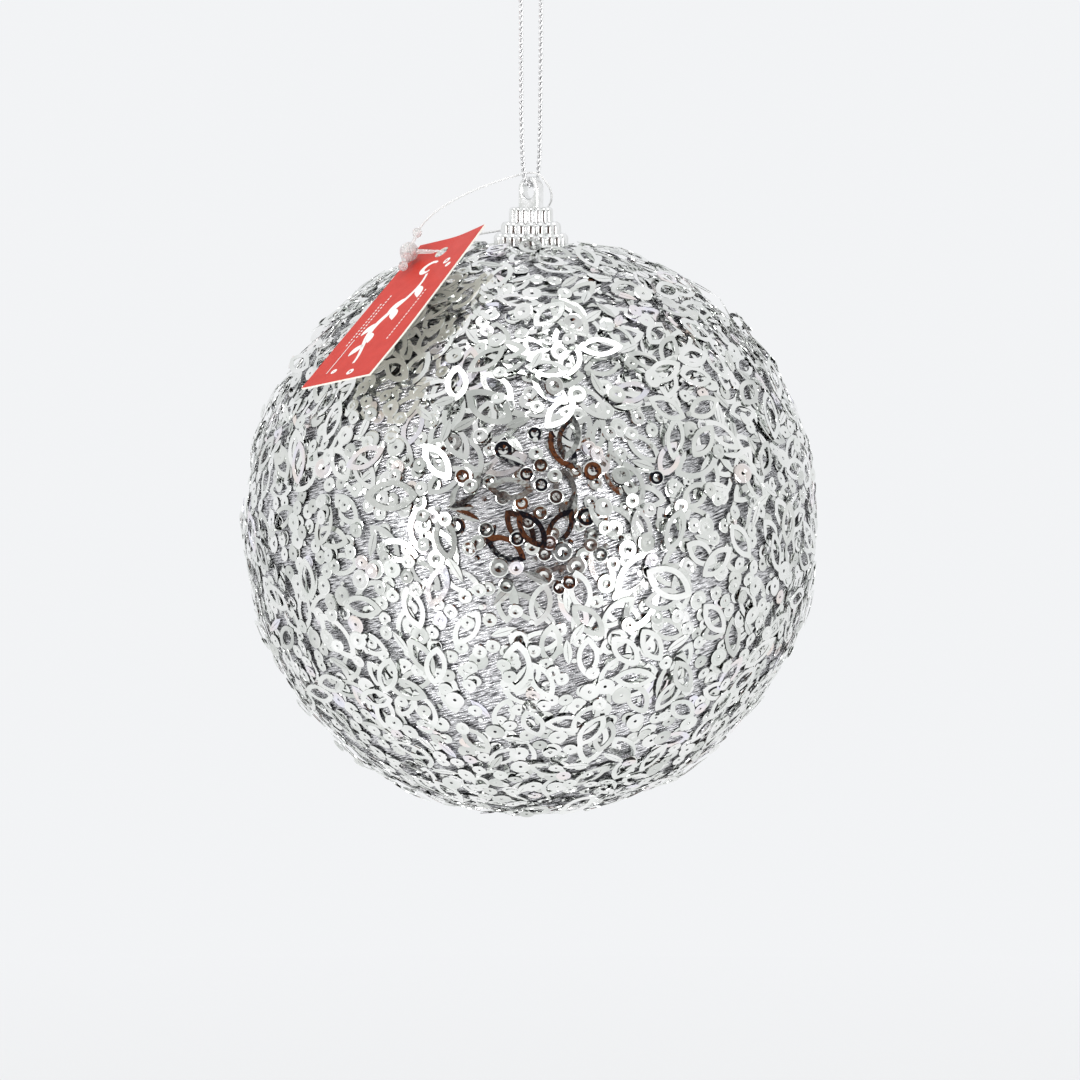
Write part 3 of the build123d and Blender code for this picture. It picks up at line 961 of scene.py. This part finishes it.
def card_faces():
    """Places on the card as (down, across) and its faces: a grid with a round hole in a square patch."""
    patch = np.linspace(-PATCH, PATCH, 9)
    downs = np.concatenate(
        [np.linspace(TAG_TOP, -PATCH, 6), patch[1:], np.linspace(PATCH, TAG_FOOT, 41)[1:]]
    )
    acrosses = np.concatenate(
        [np.linspace(-TAG_HALF, -PATCH, 9), patch[1:], np.linspace(PATCH, TAG_HALF, 9)[1:]]
    )
    number, places, faces = {}, [], []

    def at(down, across):
        key = (round(down, 4), round(across, 4))
        if key not in number:
            number[key] = len(places)
            places.append(key)
        return number[key]

    for d0, d1 in zip(downs, downs[1:]):
        for a0, a1 in zip(acrosses, acrosses[1:]):
            if abs(d0 + d1) / 2 < PATCH and abs(a0 + a1) / 2 < PATCH:
                continue
            faces.append([at(d0, a0), at(d1, a0), at(d1, a1), at(d0, a1)])
    edge = patch[:-1]
    square = [(-PATCH, a) for a in edge] + [(d, PATCH) for d in edge]
    square += [(PATCH, -a) for a in edge] + [(-d, -PATCH) for d in edge]
    rings = 4
    for k in range(len(square)):
        cells = []
        for corner in (square[k], square[(k + 1) % len(square)]):
            turn = math.atan2(corner[1], corner[0])
            rim = (HOLE_R * math.cos(turn), HOLE_R * math.sin(turn))
            cells.append(
                [
                    tuple(near + (far - near) * r / rings for near, far in zip(rim, corner))
                    for r in range(rings + 1)
                ]
            )
        for r in range(rings):
            faces.append([at(*cells[0][r]), at(*cells[1][r]), at(*cells[1][r + 1]), at(*cells[0][r + 1])])
    return places, faces


def make_card():
    """The card: a printed face, a plain back and plain edges."""
    places, faces = card_faces()
    count = len(places)
    lifts = [curl(d, a) for d, a in places]
    vertices = [on_tag(d, a, h) for (d, a), h in zip(places, lifts)]
    vertices += [on_tag(d, a, h - TAG_T) for (d, a), h in zip(places, lifts)]
    edges = {}
    for face in faces:
        for a, b in zip(face, face[1:] + face[:1]):
            edges[frozenset((a, b))] = edges.get(frozenset((a, b)), []) + [(a, b)]
    borders = [uses[0] for uses in edges.values() if len(uses) == 1]
    everything = [list(face) for face in faces]
    everything += [[count + i for i in reversed(face)] for face in faces]
    everything += [[b, a, count + a, count + b] for a, b in borders]
    card = new_object("card", vertices, everything, smooth=False)
    card.data.materials.append(material_of["card_print"])
    card.data.materials.append(material_of["card_stock"])
    sides = [0] * len(faces) + [1] * (len(everything) - len(faces))
    card.data.polygons.foreach_set("material_index", sides)
    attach(card, "tag")
    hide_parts("tag_card")


def ink_strip(line, widths):
    """Vertices and faces of a stroke of ink that follows a line on the card."""
    line = np.array(line)
    along = np.gradient(line, axis=0)
    along /= np.linalg.norm(along, axis=1, keepdims=True)
    across = np.stack([-along[:, 1], along[:, 0]], axis=1)
    half = np.array(widths)[:, None] / 2
    left, right = line + across * half, line - across * half
    vertices = []
    for pair in zip(left, right):
        vertices += [on_tag(d, a, curl(d, a) + INK_LIFT) for d, a in pair]
    faces = [(2 * k, 2 * k + 1, 2 * k + 3, 2 * k + 2) for k in range(len(line) - 1)]
    return vertices, faces


def printed_marks():
    """A plain sprig, a swirl, dots, dotted rules and a line: places and widths in millimetres on the card."""
    t = np.linspace(0, 1, 60)
    stem = np.stack([7.5 + 29 * t, 0.4 + 1.8 * np.sin(2 * math.pi * 1.15 * t + 0.5) - 1.0 * t], axis=1)
    yield stem, 0.7 + 0.8 * np.sin(math.pi * t) ** 2
    for k, (place, side) in enumerate([(9, 1), (16, -1), (23, 1), (31, -1), (38, 1), (46, -1)]):
        root = stem[place]
        u = np.linspace(0, 1, 16)
        leaf = root + np.stack([(4.4 - 0.2 * k) * u, side * ((4.2 - 0.2 * k) * u - 1.3 * u**2)], axis=1)
        yield leaf, 0.2 + 1.9 * np.sin(math.pi * u**0.8)
    curl_turn = np.linspace(0, 1.55 * math.pi, 40)
    swirl_r = 2.3 - 0.85 * curl_turn / math.pi
    yield (
        np.stack([5.6 + swirl_r * np.cos(curl_turn + 2.4), 0.2 + swirl_r * np.sin(curl_turn + 2.4)], axis=1),
        0.5 + 0.8 * np.sin(np.linspace(0.15, math.pi, 40)),
    )
    ring = np.linspace(0, 2 * math.pi, 25)
    for down, across, size in ((4.6, 5.2, 0.62), (6.4, 6.9, 0.42), (39.6, 2.6, 0.6), (38.2, -3.2, 0.45)):
        yield np.stack([down + size * np.cos(ring), across + size * np.sin(ring)], axis=1), np.full(25, 0.6)
    for across, low, high in ((5.9, 14.0, 30.0), (-5.2, 13.0, 27.0), (-6.3, 15.5, 29.5)):
        for down in np.arange(low, high, 0.95):
            yield np.array([[down, across], [down + 0.55, across]]), np.full(2, 0.36)
    yield np.array([[27.5, -5.2], [38.5, -5.2]]), np.full(2, 0.24)


def make_print():
    """The white print, just above the card's face."""
    vertices, faces = [], []
    for line, widths in printed_marks():
        v, f = ink_strip(line, widths)
        faces += [[len(vertices) + i for i in face] for face in f]
        vertices += v
    ink = new_object("card_ink", vertices, faces)
    ink.data.materials.append(material_of["ink"])
    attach(ink, "tag")


# --- the knot ---
KNOT_ROUTE = [  # the right-hand end, in millimetres from the loop's bearing point
    (0.49, 0.0, 1.6),
    (0.35, -0.5, 2.3),
    (1.2, -0.9, 2.9),
    (1.5, 0.2, 3.5),
    (0.5, 1.2, 3.6),
    (-0.9, 1.0, 3.0),
    (-1.45, 0.0, 2.5),
    (-0.9, -1.1, 2.5),
    (0.3, -1.4, 3.1),
    (1.0, -0.6, 4.0),
    (0.6, 0.1, 4.7),
    (0.75, 0.0, 6.2),
    (1.5, 0.1, 9.2),
    (2.4, -0.1, 12.2),
]


def make_knot():
    """Two cord ends that wind round each other into the knot and stand out of its top."""
    for side, name in ((-1, "knot_left"), (1, "knot_right")):
        route = [Vector((side * x, side * y, z)) * MM for x, y, z in KNOT_ROUTE]
        places, _ = route_points(name, route, 0.12 * MM)
        strand = twisted(name, places, PLY_R, PLY_OFFSET, CORD_LAY, 2, start_turn=side)
        strand.data.materials.append(material_of["cord"])
        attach(strand, "hanger")
        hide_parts("cord_knot")


make_card()
make_print()
make_knot()

# --- CAD pieces that keep their shape ---
dress("foam_core", "foam")
dress("cap", "cap")
dress("hot_glue", "glue")
dress("tag_lock", "clear")
dress("tag_plug", "clear")

bpy.context.scene.view_settings.view_transform = "Standard"
